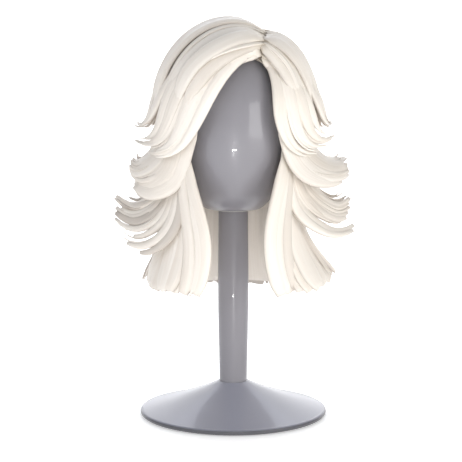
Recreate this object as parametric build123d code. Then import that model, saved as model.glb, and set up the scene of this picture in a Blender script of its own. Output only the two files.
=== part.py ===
from build123d import *
from math import asin, degrees, inf, sqrt
import os

# A shoulder-length costume wig with flicked layers, worn by a faceless egg-shaped display head that
# turns on a post with a trumpet-shaped foot. Millimetres. The origin is on the table under the
# middle of the foot, +Z is up, the open face looks along -Y and the wearer's left is +X.

# ---- Foot ----
FELT_THICK = 2.0
FELT_INSET = 8.0          # of the felt's edge from the foot's widest line
FOOT_RADIUS = 125.0
FOOT_WALL = 3.2
RIM_UNDERCUT = 5.0        # how far the rim's lower edge stands inside its widest line
RIM_HEIGHT = 6.6
COVER_THICK = 3.0
COVER_GAP = 0.3
WEIGHT_RADIUS = 62.0
WEIGHT_HOLE = 12.0
WEIGHT_THICK = 12.5
NUT_RADIUS = 6.5
NUT_HEIGHT = 6.5
NUT_ROOM = 0.4
ROD_WASHER_RADIUS = 11.0
ROD_WASHER_THICK = 1.6
HUB_FLOOR = 4.0
HUB_WALL = 4.0
SOCKET_DEPTH = 15.0
SCREW_RADIUS = 1.75
SCREW_LENGTH = 7.0
SCREW_HEAD_RADIUS = 3.6
SCREW_HEAD_HEIGHT = 1.6
SCREW_RING_INSET = 30.0   # from the foot's widest line to the ring of screws
SCREW_COUNT = 4
BOSS_RADIUS = 5.0
HOLE_GAP = 0.3

# ---- Post ----
POST_LENGTH = 244.0       # from the socket's floor to the post's top
POST_FOOT_RADIUS = 18.3
POST_WAIST_RADIUS = 20.6
POST_NECK_RADIUS = 19.6
POST_BORE = 15.0
POST_FIT = 0.2
ROD_RADIUS = 4.0
PLUG_DEPTH = 24.0
PLUG_THREAD_DEPTH = 18.0

# ---- Swivel ----
SWIVEL_WASHER_THICK = 1.5
SWIVEL_GAP = 0.2
SPIGOT_RADIUS = 10.0
SPIGOT_CLEARANCE = 0.05
BUSH_WALL = 2.0
BUSH_LENGTH = 22.0
SPIGOT_WASHER_THICK = 2.0
SPIGOT_SCREW_RADIUS = 2.5
SPIGOT_SCREW_LENGTH = 14.0
SPIGOT_SCREW_HEAD_RADIUS = 5.0
SPIGOT_SCREW_HEAD_HEIGHT = 3.5

# ---- Head ----
HEAD_HALF_WIDTH = 76.0
HEAD_DEPTH_RATIO = 1.21   # front-to-back size over side-to-side size, of the head and all that fits it
HEAD_CHIN_HEIGHT = 129.0  # from the flat bottom up to the widest level
HEAD_DOME_HEIGHT = 97.0   # from the widest level up to the crown
HEAD_FLAT_RADIUS = 27.0
HEAD_CHIN_REACH = 24.0    # handle of the chin's curve, along the flat
HEAD_CHEEK_REACH = 80.0   # handle of the same curve, down from the widest level
HEAD_WALL = 3.5
FLOOR_RADIUS = 24.0
FLOOR_THICK = 6.0
FLOOR_GAP = 0.2

# ---- Cap, as stand-offs from the head's surface ----
NET = (1.0, 1.8)
TRACK = (2.0, 2.8)
BAND = (2.0, 2.7)
EAR_TAB = (1.0, 1.9)
EAR_STAY = (2.0, 2.6)
PART_SKIN = (3.2, 3.8)
LABEL = (0.3, 0.8)
TO_CROWN = inf            # in place of a height: all the way up
NET_DROP = 30.0           # from the crown down to the net's edge
RIB_WIDTH = 6.0           # degrees round the head
RIB_ANGLES = (100, 125, 150, 210, 235, 260)
RIB_FOOT = -43.0          # all heights in the cap and hair are from the head's widest level
TRACK_WIDTH = 4.0
TRACK_DROPS = (138.0, 116.0, 93.0, 70.0, 47.0)    # from the crown down to each track
TRACK_STARTS = (112, 105, 100, 86, 64)
HAIRLINE_TOP = (24.0, 24.0)       # as (distance behind the forehead, drop from the crown)
HAIRLINE_EAR = (56.0, 70.0)
HAIRLINE_WIDTH = 12.0
EAR_TAB_ARC = (62, 81)
EAR_TAB_SPAN = (-13.0, 26.0)
EAR_STAY_ARC = (70, 73)
EAR_STAY_SPAN = (-8.0, 21.0)
PART_OFFSET = 30.0        # the parting lies this far to the wearer's left
PART_WIDTH = 20.0
PART_START = 30.0         # behind the forehead
PART_LENGTH = 76.0
LABEL_ARC = (170, 190)
LABEL_HEIGHT = 12.0
LABEL_LAP = 3.0           # how far it is sewn up under the net's edge

# ---- Nape band and its two adjusters, on an arc that fits the back of the head ----
NAPE_HALF_SPAN = 50.0
NAPE_CLEARANCE = 0.5
NAPE_BAND_SPAN = (-60.0, -44.0)
NAPE_BAND_DEPTH = (2.5, 3.7)
TUNNEL_WALL_DEPTH = (0.3, 0.9)
STRAP_DEPTH = (1.2, 2.2)
STRAP_HEIGHT = 8.0
TONGUE_HEIGHT = 4.0
TUNNEL_GAP = 0.5
TUNNEL_LEG = 1.0
LOOP_PLACES = (3.0, 7.5, 12.0)    # along the arc from the middle of the nape
LOOP_WIDTH = 2.0
HOOK_SPAN = (10.0, 31.0)
TONGUE_END = 23.0
STRAP_SPAN = (31.0, 50.0)
CASING_SPAN = (38.0, 52.0)

# ---- Hair, as closed plain solids of each weft's outer shape ----
HAIR_OFFSET = 5.0
SEAM = 0.6                # free space between neighbouring wefts
SEAM_ANGLE = 0.5
FRONT_ANGLE = 10          # the fringe and curtains start this many degrees from the face's middle
SIDE_ANGLE = 50
BACK_ANGLE = 125
CROWN_THICK = 35.0
CROWN_RISE = 27.0
CROWN_FOOT = 27.0
FRINGE_THICK = 24.0
FRINGE_FOOT = -52.0
CURTAIN_THICK = 19.0
HAIR_DROP = 231.0         # from the head's widest level down to the front and side ends
NAPE_EXTRA = 12.0         # how much lower the hair hangs at the nape
FLICK_REACH = 48.0        # how far the widest flicks stand out past the hair under them
BACK_FLICK = 0.5          # share of that reach at the back
# Outline of the open face and of the gap between the curtains, as (x, height)
FACE_EDGE_RIGHT = ((20, 67), (0, 55), (-23, 13), (-54, -54), (-26, -168), (-33, -260))
FACE_EDGE_LEFT = ((43, -260), (33, -168), (61, -54), (47, 0), (44, 50))

# ---- Heights and places that follow from the sizes above ----
COVER_TOP = FELT_THICK + COVER_THICK
WEIGHT_TOP = COVER_TOP + WEIGHT_THICK
ROD_WASHER_FOOT = WEIGHT_TOP + NUT_ROOM + NUT_HEIGHT
HUB_FOOT = ROD_WASHER_FOOT + ROD_WASHER_THICK
SOCKET_FLOOR = HUB_FOOT + HUB_FLOOR
FOOT_TOP = SOCKET_FLOOR + SOCKET_DEPTH
POST_TOP = SOCKET_FLOOR + POST_LENGTH
HEAD_BOTTOM = POST_TOP + SWIVEL_WASHER_THICK + SWIVEL_GAP
BUSH_TOP = HEAD_BOTTOM + BUSH_LENGTH
SPIGOT_TOP = BUSH_TOP + SWIVEL_GAP
WIDEST = HEAD_BOTTOM + HEAD_CHIN_HEIGHT
CROWN = WIDEST + HEAD_DOME_HEIGHT
FOREHEAD = -HEAD_HALF_WIDTH * HEAD_DEPTH_RATIO
NET_EDGE = HEAD_DOME_HEIGHT - NET_DROP
COVER_RADIUS = FOOT_RADIUS - RIM_UNDERCUT - FOOT_WALL - COVER_GAP
SCREW_RING = FOOT_RADIUS - SCREW_RING_INSET
HAIR_RADIUS = HEAD_HALF_WIDTH + HAIR_OFFSET


# ---------------------------------------------------------------- helpers
def polygon_profile(points):
    """Face in the XZ plane with these (radius, z) corners."""
    return make_face(Polyline(*[(r, 0, z) for r, z in points], close=True))


def turned(profile, start=0.0, end=360.0):
    """Solid of revolution of a profile, from one angle to another, counted from the face's middle."""
    return Rot(0, 0, start - 90) * revolve(profile, Axis.Z, end - start)


def head_fit(solid):
    """A round solid made oval as the head is: longer from front to back."""
    return scale(solid, by=(1, HEAD_DEPTH_RATIO, 1), about=(0, 0, 0))


def ring(inner, outer, low, high):
    """Plain round ring or, with no inner radius, a disc."""
    body = Pos(0, 0, low) * Cylinder(outer, high - low, align=(Align.CENTER, Align.CENTER, Align.MIN))
    if inner > 0:
        body -= Pos(0, 0, low) * Cylinder(inner, high - low, align=(Align.CENTER, Align.CENTER, Align.MIN))
    return body


def dome_radius(offset, height):
    """Half width, at a height over the widest level, of the head's dome grown by an offset."""
    share = max(height, 0.0) / (HEAD_DOME_HEIGHT + offset)
    return (HEAD_HALF_WIDTH + offset) * sqrt(max(0.0, 1 - share * share))


def dome_arc(radius, rise, low, high):
    """The part of a quarter ellipse over the widest level between two heights, in the XZ plane."""
    start, end = (degrees(asin(min(1.0, height / rise))) for height in (low, high))
    arc = EllipticalCenterArc((0, 0), radius, rise, start_angle=start, arc_size=end - start)
    return Pos(0, 0, WIDEST) * (Rot(90, 0, 0) * arc)


def shell_profile(inner, outer, low, high):
    """Profile between two stand-offs from the head, from one height to another or to the crown.

    Under the widest level the shell hangs straight down, so that it slides off over the head.
    """
    edges = []
    ends = []
    for offset in (inner, outer):
        radius, rise = HEAD_HALF_WIDTH + offset, HEAD_DOME_HEIGHT + offset
        top = min(high, rise)
        if top > 0:
            edges.append(dome_arc(radius, rise, max(low, 0), top))
        if low < 0:
            edges.append(Line((radius, 0, WIDEST + low), (radius, 0, WIDEST + min(top, 0))))
        ends.append([(dome_radius(offset, height), 0, WIDEST + height) for height in (low, top)])
    for inner_end, outer_end in zip(*ends):
        edges.append(Line(inner_end, outer_end))
    return make_face(edges)


def fitted_shell(stand_off, low, high, start=0.0, end=360.0):
    """Thin piece of the cap that follows the head."""
    return head_fit(turned(shell_profile(*stand_off, low, high), start, end))


def mirrored(solid):
    """The same piece on the wearer's other side."""
    return mirror(solid, Plane.YZ)


def save(name, shape):
    """Writes one sub-part; a list of solids becomes a group in one file."""
    if isinstance(shape, (list, tuple)):
        shape = Compound(children=[solid for piece in shape for solid in piece.solids()])
    shape.label = name
    export_step(shape, os.path.join("parts", f"{name}.step"))


# ---------------------------------------------------------------- stand
def foot_shell():
    """Trumpet foot: a rounded rim, a slightly hollow cone, and a socket that holds the post."""
    bore = POST_FOOT_RADIUS + POST_FIT
    rim_bottom = FOOT_RADIUS - RIM_UNDERCUT
    rim_top = (FOOT_RADIUS - 4.0, FELT_THICK + RIM_HEIGHT)
    lip = (bore + 1.2, FOOT_TOP)
    hub = bore + HUB_WALL
    fall = (FOOT_TOP - rim_top[1]) / (rim_top[0] - lip[0])
    hub_ceiling = FOOT_TOP - fall * (hub - lip[0]) - FOOT_WALL * 2.2
    cavity_edge = rim_bottom - FOOT_WALL
    edges = [
        Line((cavity_edge, 0, FELT_THICK), (rim_bottom, 0, FELT_THICK)),
        ThreePointArc(
            (rim_bottom, 0, FELT_THICK),
            (FOOT_RADIUS, 0, FELT_THICK + RIM_HEIGHT * 0.55),
            (rim_top[0], 0, rim_top[1]),
        ),
        Bezier(
            (rim_top[0], 0, rim_top[1]),
            (rim_top[0] * 0.66, 0, rim_top[1] + (FOOT_TOP - rim_top[1]) * 0.32),
            (lip[0] + 16, 0, FOOT_TOP - 9),
            (lip[0], 0, lip[1]),
        ),
        Polyline(
            (lip[0], 0, lip[1]),
            (bore, 0, FOOT_TOP),
            (bore, 0, SOCKET_FLOOR),
            (ROD_RADIUS + HOLE_GAP, 0, SOCKET_FLOOR),
            (ROD_RADIUS + HOLE_GAP, 0, HUB_FOOT),
            (hub, 0, HUB_FOOT),
            (hub, 0, hub_ceiling),
            (cavity_edge - 4.0, 0, COVER_TOP + 1.2),
            (cavity_edge, 0, COVER_TOP),
            (cavity_edge, 0, FELT_THICK),
        ),
    ]
    shell = turned(make_face(edges))
    boss = Pos(SCREW_RING, 0, COVER_TOP) * Cylinder(
        BOSS_RADIUS, SCREW_LENGTH, align=(Align.CENTER, Align.CENTER, Align.MIN)
    )
    hole = Pos(SCREW_RING, 0, COVER_TOP - 1) * Cylinder(
        SCREW_RADIUS, SCREW_LENGTH, align=(Align.CENTER, Align.CENTER, Align.MIN)
    )
    for turn in screw_turns():
        shell += turn * boss
        shell -= turn * hole
    return shell


def screw_turns():
    """The places of the cover's screws, as turns about the post's axis."""
    return [Rot(0, 0, 45 + 360 / SCREW_COUNT * n) for n in range(SCREW_COUNT)]


def foot_cover():
    """Round plate that closes the foot, with a counterbored hole for each screw."""
    plate = ring(0, COVER_RADIUS, FELT_THICK, COVER_TOP)
    hole = Pos(SCREW_RING, 0, FELT_THICK) * Cylinder(
        SCREW_RADIUS + HOLE_GAP, COVER_THICK, align=(Align.CENTER, Align.CENTER, Align.MIN)
    )
    seat = Pos(SCREW_RING, 0, FELT_THICK) * Cylinder(
        SCREW_HEAD_RADIUS + HOLE_GAP, SCREW_HEAD_HEIGHT, align=(Align.CENTER, Align.CENTER, Align.MIN)
    )
    for turn in screw_turns():
        plate -= turn * (hole + seat)
    return plate


def cover_screws():
    """Pan-head screws that hold the cover to the foot's bosses."""
    head = Cylinder(SCREW_HEAD_RADIUS, SCREW_HEAD_HEIGHT, align=(Align.CENTER, Align.CENTER, Align.MIN))
    shank = Cylinder(SCREW_RADIUS, SCREW_LENGTH, align=(Align.CENTER, Align.CENTER, Align.MIN))
    screw = Pos(SCREW_RING, 0, FELT_THICK) * (head + shank)
    return [turn * screw for turn in screw_turns()]


def post_tube():
    """Hollow post, straight in its socket and gently swollen between the foot and the neck."""
    outline = Spline(
        (POST_FOOT_RADIUS, 0, FOOT_TOP),
        (POST_WAIST_RADIUS, 0, FOOT_TOP + (POST_TOP - FOOT_TOP) * 0.5),
        (POST_NECK_RADIUS, 0, POST_TOP),
        tangents=((0.01, 0, 1), (0, 0, 1)),
    )
    rest = Polyline(
        (POST_NECK_RADIUS, 0, POST_TOP),
        (POST_BORE, 0, POST_TOP),
        (POST_BORE, 0, SOCKET_FLOOR),
        (POST_FOOT_RADIUS, 0, SOCKET_FLOOR),
        (POST_FOOT_RADIUS, 0, FOOT_TOP),
    )
    return turned(make_face([outline, rest]))


def tie_rod():
    """Threaded rod that clamps the post between the foot's hub and the neck plug."""
    return ring(0, ROD_RADIUS, WEIGHT_TOP + NUT_ROOM, POST_TOP - PLUG_DEPTH + PLUG_THREAD_DEPTH)


def tie_rod_nut():
    """Hexagon nut under the hub."""
    hexagon = RegularPolygon(NUT_RADIUS, 6, major_radius=False)
    nut = Pos(0, 0, WEIGHT_TOP + NUT_ROOM) * extrude(hexagon, NUT_HEIGHT)
    return nut - ring(0, ROD_RADIUS, WEIGHT_TOP, ROD_WASHER_FOOT + 1)


def neck_plug():
    """Plug in the post's top, threaded for the rod below and carrying the head's spigot above."""
    foot = POST_TOP - PLUG_DEPTH
    plug = ring(0, POST_BORE, foot, POST_TOP) + ring(0, SPIGOT_RADIUS, POST_TOP, SPIGOT_TOP)
    plug -= ring(0, ROD_RADIUS, foot - 1, foot + PLUG_THREAD_DEPTH)
    return plug - ring(0, SPIGOT_SCREW_RADIUS, SPIGOT_TOP - SPIGOT_SCREW_LENGTH, SPIGOT_TOP + 1)


def spigot_screw():
    """Screw that keeps the spigot's washer, and so the head, from lifting off the post."""
    top = SPIGOT_TOP + SPIGOT_WASHER_THICK
    head = ring(0, SPIGOT_SCREW_HEAD_RADIUS, top, top + SPIGOT_SCREW_HEAD_HEIGHT)
    return head + ring(0, SPIGOT_SCREW_RADIUS, SPIGOT_TOP - SPIGOT_SCREW_LENGTH, top)


# ---------------------------------------------------------------- head
def head_solid(inset):
    """The egg, drawn in by an inset: flat bottom, a full curve up the chin and an elliptical dome."""
    half, bottom = HEAD_HALF_WIDTH - inset, HEAD_BOTTOM + inset
    outline = [
        Line((0, 0, bottom), (HEAD_FLAT_RADIUS, 0, bottom)),
        Bezier(
            (HEAD_FLAT_RADIUS, 0, bottom),
            (HEAD_FLAT_RADIUS + HEAD_CHIN_REACH, 0, bottom),
            (half, 0, WIDEST - HEAD_CHEEK_REACH),
            (half, 0, WIDEST),
        ),
        dome_arc(half, HEAD_DOME_HEIGHT - inset, 0, HEAD_DOME_HEIGHT - inset),
        Line((0, 0, CROWN - inset), (0, 0, bottom)),
    ]
    return head_fit(turned(make_face(outline)))


def head_shell():
    """Hollow egg with a round hole in its flat bottom."""
    hole = ring(0, FLOOR_RADIUS + FLOOR_GAP, HEAD_BOTTOM - 1, HEAD_BOTTOM + HEAD_WALL * 2)
    return head_solid(0) - head_solid(HEAD_WALL) - hole


# ---------------------------------------------------------------- cap
def crown_net():
    """Stretch-lace cup over the crown."""
    return fitted_shell(NET, NET_EDGE, TO_CROWN)


def elastic_ribs():
    """Elastic lace strips from the net's edge down to the nape and round the ears."""
    top, half = NET_EDGE - SEAM, RIB_WIDTH / 2
    return [fitted_shell(NET, RIB_FOOT, top, angle - half, angle + half) for angle in RIB_ANGLES]


def weft_track(drop, start):
    """Stitched strip round the back of the cap that a weft of hair hangs from."""
    height = HEAD_DOME_HEIGHT - drop
    return fitted_shell(TRACK, height, height + TRACK_WIDTH, start, 360 - start)


def care_label():
    """Label sewn inside the net's edge at the back, left plain."""
    return fitted_shell(LABEL, NET_EDGE + LABEL_LAP - LABEL_HEIGHT, NET_EDGE + LABEL_LAP, *LABEL_ARC)


def front_band():
    """Lined band along the hairline, from one ear tab over the forehead to the other."""
    top_y, ear_y = (FOREHEAD + point[0] for point in (HAIRLINE_TOP, HAIRLINE_EAR))
    top_z, ear_z = (HEAD_DOME_HEIGHT - point[1] for point in (HAIRLINE_TOP, HAIRLINE_EAR))
    run, rise = top_y - ear_y, top_z - ear_z
    length = sqrt(run * run + rise * rise)
    back = (rise / length * HAIRLINE_WIDTH, -run / length * HAIRLINE_WIDTH)
    corners = [
        (top_y, top_z),
        (ear_y, ear_z),
        (ear_y + back[0], ear_z + back[1]),
        (top_y + back[0], top_z + back[1]),
    ]
    outline = make_face(Polyline(*[(0, y, WIDEST + z) for y, z in corners], close=True))
    strip = extrude(outline, HEAD_HALF_WIDTH * 2, both=True, dir=(1, 0, 0))
    return fitted_shell(BAND, 0, TO_CROWN) & strip


def parting_skin():
    """Skin-like strip that shows as scalp between the two sides of the parting."""
    middle = FOREHEAD + PART_START + PART_LENGTH / 2
    block = Pos(PART_OFFSET, middle, CROWN) * Box(PART_WIDTH, PART_LENGTH, HEAD_DOME_HEIGHT)
    return fitted_shell(PART_SKIN, 0, TO_CROWN) & block


# ---------------------------------------------------------------- nape band and adjusters
def nape_arc():
    """Centre (as y) and radius of the circle that fits the back of the head, clear of it."""
    half = HEAD_HALF_WIDTH + NAPE_CLEARANCE
    back = half * HEAD_DEPTH_RATIO
    side = back * sqrt(1 - (NAPE_HALF_SPAN / half) ** 2)
    centre = (back**2 - NAPE_HALF_SPAN**2 - side**2) / (2 * (back - side))
    return centre, back - centre


def nape_piece(depth, low, high, start, end):
    """Strip on the nape's arc: a depth over the head, two heights, and two lengths along the arc.

    Lengths count from the middle of the nape towards the wearer's left.
    """
    centre, radius = nape_arc()
    corners = [(depth[0], low), (depth[1], low), (depth[1], high), (depth[0], high)]
    profile = polygon_profile([(radius + d, z) for d, z in corners])
    first, last = (degrees(length / radius) for length in (start, end))
    return Pos(0, centre, 0) * (Rot(0, 0, 90 - last) * revolve(profile, Axis.Z, last - first))


def strap_level():
    """Height of the middle of both straps."""
    return WIDEST + (NAPE_BAND_SPAN[0] + NAPE_BAND_SPAN[1]) / 2


def flat_strap(height, start, end):
    """Strip of the adjuster, level with its tunnels, between two lengths along the nape."""
    level = strap_level()
    return nape_piece(STRAP_DEPTH, level - height / 2, level + height / 2, start, end)


def tunnel(height, start, end):
    """Fabric tunnel sewn to the inside of the nape band: a wall with a leg above and below."""
    low = strap_level() - height / 2 - TUNNEL_GAP
    high = strap_level() + height / 2 + TUNNEL_GAP
    wall = nape_piece(TUNNEL_WALL_DEPTH, low - TUNNEL_LEG, high + TUNNEL_LEG, start, end)
    legs = (TUNNEL_WALL_DEPTH[0], NAPE_BAND_DEPTH[0])
    below = nape_piece(legs, low - TUNNEL_LEG, low, start, end)
    above = nape_piece(legs, high, high + TUNNEL_LEG, start, end)
    return wall + below + above


def nape_band():
    """Lined band across the nape."""
    low, high = (WIDEST + height for height in NAPE_BAND_SPAN)
    end = max(CASING_SPAN) + SEAM
    return nape_piece(NAPE_BAND_DEPTH, low, high, -end, end)


def hook_loops():
    """The row of loops that the adjuster's tongue is pushed through."""
    half = LOOP_WIDTH / 2
    return [tunnel(TONGUE_HEIGHT, place - half, place + half) for place in LOOP_PLACES]


def adjuster_hook():
    """Flat plastic hook: a narrow tongue and a wider body that joins the strap."""
    tongue = flat_strap(TONGUE_HEIGHT, HOOK_SPAN[0], TONGUE_END)
    return tongue + flat_strap(STRAP_HEIGHT, TONGUE_END, HOOK_SPAN[1])


def adjuster_strap():
    """Elastic strap from the hook back into its casing."""
    return flat_strap(STRAP_HEIGHT, *STRAP_SPAN)


# ---------------------------------------------------------------- hair
def hair_block(points, start, end):
    """Weft as a turned block: points are (reach past the hair's inner face, height)."""
    outline = polygon_profile([(HAIR_RADIUS + reach, WIDEST + height) for reach, height in points])
    return head_fit(turned(outline, start + SEAM_ANGLE, end - SEAM_ANGLE))


def face_cut():
    """Everything in front of the head inside the face's outline and between the curtains."""
    corners = [(x, 0, WIDEST + height) for x, height in FACE_EDGE_RIGHT + FACE_EDGE_LEFT]
    return extrude(make_face(Polyline(*corners, close=True)), HEAD_HALF_WIDTH * 3, dir=(0, -1, 0))


def crown_hair():
    """Dome of hair over the crown, cut along the parting into the wearer's right and left."""
    inner_radius, inner_rise = HAIR_RADIUS, HEAD_DOME_HEIGHT + HAIR_OFFSET
    outer_radius, outer_rise = HEAD_HALF_WIDTH + CROWN_THICK, HEAD_DOME_HEIGHT + CROWN_RISE
    foot_in = inner_radius * sqrt(1 - (CROWN_FOOT / inner_rise) ** 2)
    foot_out = outer_radius * sqrt(1 - (CROWN_FOOT / outer_rise) ** 2)
    profile = make_face(
        [
            dome_arc(inner_radius, inner_rise, CROWN_FOOT, inner_rise),
            dome_arc(outer_radius, outer_rise, CROWN_FOOT, outer_rise),
            Line((foot_in, 0, WIDEST + CROWN_FOOT), (foot_out, 0, WIDEST + CROWN_FOOT)),
            Line((0, 0, WIDEST + inner_rise), (0, 0, WIDEST + outer_rise)),
        ]
    )
    dome = head_fit(turned(profile)) - face_cut()
    size = outer_radius * 4
    halves = []
    for side in (-1, 1):
        middle = PART_OFFSET + side * (size + SEAM) / 2
        halves.append(dome & (Pos(middle, 0, WIDEST) * Box(size, size, size)))
    return halves


def fringe(start, end):
    """Swept fringe beside the open face, from the crown's edge down to the cheek."""
    top = CROWN_FOOT - SEAM
    points = [(0, top), (0, FRINGE_FOOT), (FRINGE_THICK, FRINGE_FOOT), (FRINGE_THICK, top)]
    return hair_block(points, start, end) - face_cut()


def curtain(start, end):
    """Face-framing length under the fringe, down to the ends."""
    top = FRINGE_FOOT - SEAM
    points = [(0, top), (0, -HAIR_DROP), (CURTAIN_THICK, -HAIR_DROP), (CURTAIN_THICK, top)]
    return hair_block(points, start, end) - face_cut()


def shingled_wefts(start, end, flick, drop):
    """Four wefts that lie over each other like shingles, each flicked out at its ends.

    The lowest is the longest and lies inside; each higher one starts over the one before.
    """
    length = [
        (0, -33), (0, -165), (5, -drop), (24, 2 - drop), (39, 12 - drop), (36, 29 - drop),
        (22, -185), (13, -158), (8, -110), (8, -33),
    ]
    fan = [
        (0, -9), (0, -32), (9, -32), (9, -108), (15, -137), (29, -157),
        (flick * 0.75, -170), (flick + 26, -172), (flick + 29, -128), (flick * 0.76, -117),
        (23, -87), (16, -60), (15, -9),
    ]
    wing = [
        (0, 13), (0, -8), (16, -8), (17, -59), (28, -72), (flick, -80), (flick + 19, -81),
        (flick + 21, -59), (flick * 0.96, -54), (34, -42), (26, -25), (24, 13),
    ]
    flip = [
        (0, CROWN_FOOT - SEAM), (0, 14), (25, 14), (25, 0), (31, -17), (43, -23), (51, -24),
        (52, -13), (43, -10), (35, -3), (30, 10), (29, CROWN_FOOT - SEAM),
    ]
    return [hair_block(points, start, end) for points in (length, fan, wing, flip)]


# ---------------------------------------------------------------- build
def build_stand():
    """Foot, post and swivel."""
    save("base_shell", foot_shell())
    save("base_weight", ring(WEIGHT_HOLE, WEIGHT_RADIUS, COVER_TOP, WEIGHT_TOP))
    save("base_cover", foot_cover())
    save("cover_screws", cover_screws())
    save("felt_pad", ring(0, FOOT_RADIUS - FELT_INSET, 0, FELT_THICK))
    save("post_tube", post_tube())
    save("tie_rod", tie_rod())
    save("tie_rod_nut", tie_rod_nut())
    save("tie_rod_washer", ring(ROD_RADIUS + HOLE_GAP, ROD_WASHER_RADIUS, ROD_WASHER_FOOT, HUB_FOOT))
    save("neck_plug", neck_plug())
    inner, outer = SPIGOT_RADIUS + HOLE_GAP, POST_NECK_RADIUS - HOLE_GAP
    save("swivel_washer", ring(inner, outer, POST_TOP, POST_TOP + SWIVEL_WASHER_THICK))
    inner, outer = SPIGOT_SCREW_RADIUS + HOLE_GAP, SPIGOT_RADIUS + BUSH_WALL
    save("spigot_washer", ring(inner, outer, SPIGOT_TOP, SPIGOT_TOP + SPIGOT_WASHER_THICK))
    save("spigot_screw", spigot_screw())


def build_head():
    """Head shell with its floor and the bush that turns on the spigot."""
    save("head_shell", head_shell())
    bush_radius = SPIGOT_RADIUS + BUSH_WALL
    save("head_floor", ring(bush_radius, FLOOR_RADIUS, HEAD_BOTTOM, HEAD_BOTTOM + FLOOR_THICK))
    save("head_bush", ring(SPIGOT_RADIUS + SPIGOT_CLEARANCE, bush_radius, HEAD_BOTTOM, BUSH_TOP))


def build_cap():
    """Cap of net, ribs, tracks, bands and tabs, with an adjuster on each side of the nape."""
    save("crown_net", crown_net())
    save("elastic_ribs", elastic_ribs())
    for number, (drop, start) in enumerate(zip(TRACK_DROPS, TRACK_STARTS), 1):
        save(f"weft_track_{number}", weft_track(drop, start))
    save("front_band", front_band())
    save("parting_skin", parting_skin())
    save("care_label", care_label())
    save("nape_band", nape_band())
    tab = fitted_shell(EAR_TAB, *EAR_TAB_SPAN, *EAR_TAB_ARC)
    stay = fitted_shell(EAR_STAY, *EAR_STAY_SPAN, *EAR_STAY_ARC)
    casing = tunnel(STRAP_HEIGHT, *CASING_SPAN)
    loops = hook_loops()
    hook = adjuster_hook()
    strap = adjuster_strap()
    left_pieces = {
        "ear_tab": tab,
        "ear_stay": stay,
        "strap_casing": casing,
        "adjuster_hook": hook,
        "adjuster_strap": strap,
    }
    for name, piece in left_pieces.items():
        save(f"{name}_left", piece)
        save(f"{name}_right", mirrored(piece))
    save("hook_loops_left", loops)
    save("hook_loops_right", [mirrored(loop) for loop in loops])


def build_hair():
    """Wefts of hair: crown, fringe, curtain and four shingled side wefts a side, and the back."""
    crown_right, crown_left = crown_hair()
    save("hair_crown_right", crown_right)
    save("hair_crown_left", crown_left)
    for side, turn in (("left", 1), ("right", -1)):
        front = sorted((turn * FRONT_ANGLE, turn * SIDE_ANGLE))
        beside = sorted((turn * SIDE_ANGLE, turn * BACK_ANGLE))
        save(f"hair_fringe_{side}", fringe(*front))
        save(f"hair_curtain_{side}", curtain(*front))
        wefts = shingled_wefts(*beside, FLICK_REACH, HAIR_DROP)
        for name, weft in zip(("length", "fan", "wing", "flip"), wefts):
            save(f"hair_{name}_{side}", weft)
    flick, drop = FLICK_REACH * BACK_FLICK, HAIR_DROP + NAPE_EXTRA
    wefts = shingled_wefts(BACK_ANGLE, 360 - BACK_ANGLE, flick, drop)
    for name, weft in zip(("nape", "lower", "middle", "upper"), wefts):
        save(f"hair_back_{name}", weft)


def main():
    os.makedirs("parts", exist_ok=True)
    build_stand()
    build_head()
    build_cap()
    build_hair()


main()
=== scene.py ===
"""Looks of a shoulder-length costume wig with flicked layers, on a faceless display head.

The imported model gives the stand, the head and the cap their shapes. The hair is made here: each
weft is a curved sheet through a few guide lines, and its locks are tapered bundles that run along
that sheet, so a guide line that is moved takes its locks with it.
"""

import bpy
import math
import numpy as np
from bpy.props import FloatProperty, FloatVectorProperty, IntProperty, PointerProperty
from functools import partial
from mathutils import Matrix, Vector


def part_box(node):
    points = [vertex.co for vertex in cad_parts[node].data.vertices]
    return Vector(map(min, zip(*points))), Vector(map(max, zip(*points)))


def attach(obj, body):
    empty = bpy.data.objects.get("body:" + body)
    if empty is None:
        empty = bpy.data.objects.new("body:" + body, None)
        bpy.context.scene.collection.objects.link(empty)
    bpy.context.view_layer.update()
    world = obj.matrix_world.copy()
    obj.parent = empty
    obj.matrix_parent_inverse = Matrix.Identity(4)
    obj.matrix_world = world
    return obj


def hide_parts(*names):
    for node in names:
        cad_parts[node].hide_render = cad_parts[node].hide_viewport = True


bl_info = {
    "name": "Costume wig on a display head",
    "version": (1, 0, 0),
    "blender": (4, 5, 0),
    "location": "3D View > Sidebar > Wig",
    "description": "Makes the locks of hair and the finishes of a costume wig and its stand",
    "category": "Object",
}

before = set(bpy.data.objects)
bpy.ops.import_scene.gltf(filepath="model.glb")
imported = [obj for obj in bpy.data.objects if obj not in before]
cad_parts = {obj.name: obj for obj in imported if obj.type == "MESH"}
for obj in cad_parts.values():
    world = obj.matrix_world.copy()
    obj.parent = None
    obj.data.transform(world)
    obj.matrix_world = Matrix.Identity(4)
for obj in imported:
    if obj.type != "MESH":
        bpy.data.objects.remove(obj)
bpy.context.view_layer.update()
MM = 0.001

# ---- The head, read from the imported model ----
HEAD_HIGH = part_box("head_shell")[1]
HALF_WIDTH = HEAD_HIGH.x / MM
DEPTH_RATIO = HEAD_HIGH.y / HEAD_HIGH.x
DOME = 97.0  # from the widest level up to the crown
WIDEST = HEAD_HIGH.z / MM - DOME

# ---- How finely the hair is made ----
LOCK_STEPS = 26
SLAB_ACROSS = 64
SLAB_ALONG = 30
ARC_STEPS = 3  # control points between the parting and a guide's first point

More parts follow.
